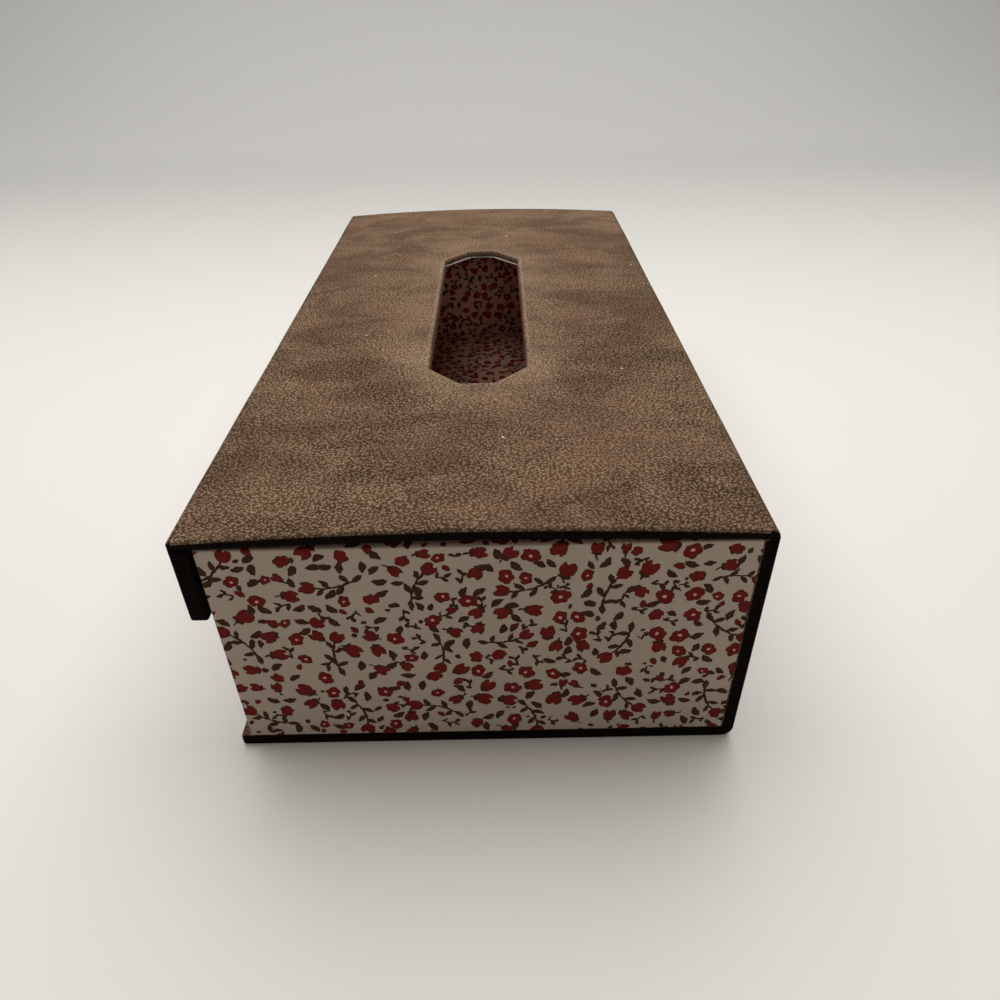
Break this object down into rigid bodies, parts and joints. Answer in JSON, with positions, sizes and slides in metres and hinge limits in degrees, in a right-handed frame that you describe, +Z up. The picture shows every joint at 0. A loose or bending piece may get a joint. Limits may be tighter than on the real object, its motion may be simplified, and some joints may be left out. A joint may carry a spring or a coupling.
{
  "type": "hinged-lid tissue box",
  "caption": "Book-style tissue box: leather-covered boards fold round a floral-papered tray, with a long eight-sided opening in the bowed lid and a closing flap.",
  "frame": {"origin": "middle of the footprint, on the surface that the box stands on", "axes": "+Z up; Y along the box, from the front end at -Y to the back end; X across it, from the flap at -X to the spine at +X"},
  "size_m": [0.134, 0.2686, 0.0714],
  "materials": {
    "leather": "soft matte grained hide, mottled, darker on folds and edges",
    "printed_paper": "matte cream paper with a small red and brown floral print",
    "printed_card": "matte white-cored card faced with the floral print",
    "board": "raw grey board",
    "magnet": "bright nickel-plated disc"
  },
  "bodies": {
    "case": {"base_board": "board", "base_cover": "leather", "spine_board": "board", "spine_cover": "leather", "tray_floor_board": "board", "tray_front_board": "board", "tray_back_board": "board", "tray_spine_side_board": "board", "tray_flap_side_board": "board", "tray_wrap": "printed_paper", "tray_wall_lining": "printed_paper", "tray_floor_lining": "printed_paper", "tray_front_magnet": "magnet", "tray_back_magnet": "magnet"},
    "lid": {"lid_board": "board", "lid_cover": "leather", "lid_lining": "printed_card", "lid_hinge_leather": "leather"},
    "flap": {"flap_board": "board", "flap_cover": "leather", "flap_lining": "printed_card", "flap_hinge_leather": "leather", "flap_front_magnet": "magnet", "flap_back_magnet": "magnet"}
  },
  "joints": [
    {"name": "lid_hinge", "type": "hinge", "parent": "case", "child": "lid", "pos_m": [0.06675, 0, 0.06915], "axis": [0, 1, 0], "range_deg": [0, 180], "deforming": ["lid_hinge_leather"]},
    {"name": "flap_hinge", "type": "hinge", "parent": "lid", "child": "flap", "pos_m": [-0.06675, 0, 0.06915], "axis": [0, 1, 0], "range_deg": [0, 180], "deforming": ["flap_hinge_leather"]}
  ]
}
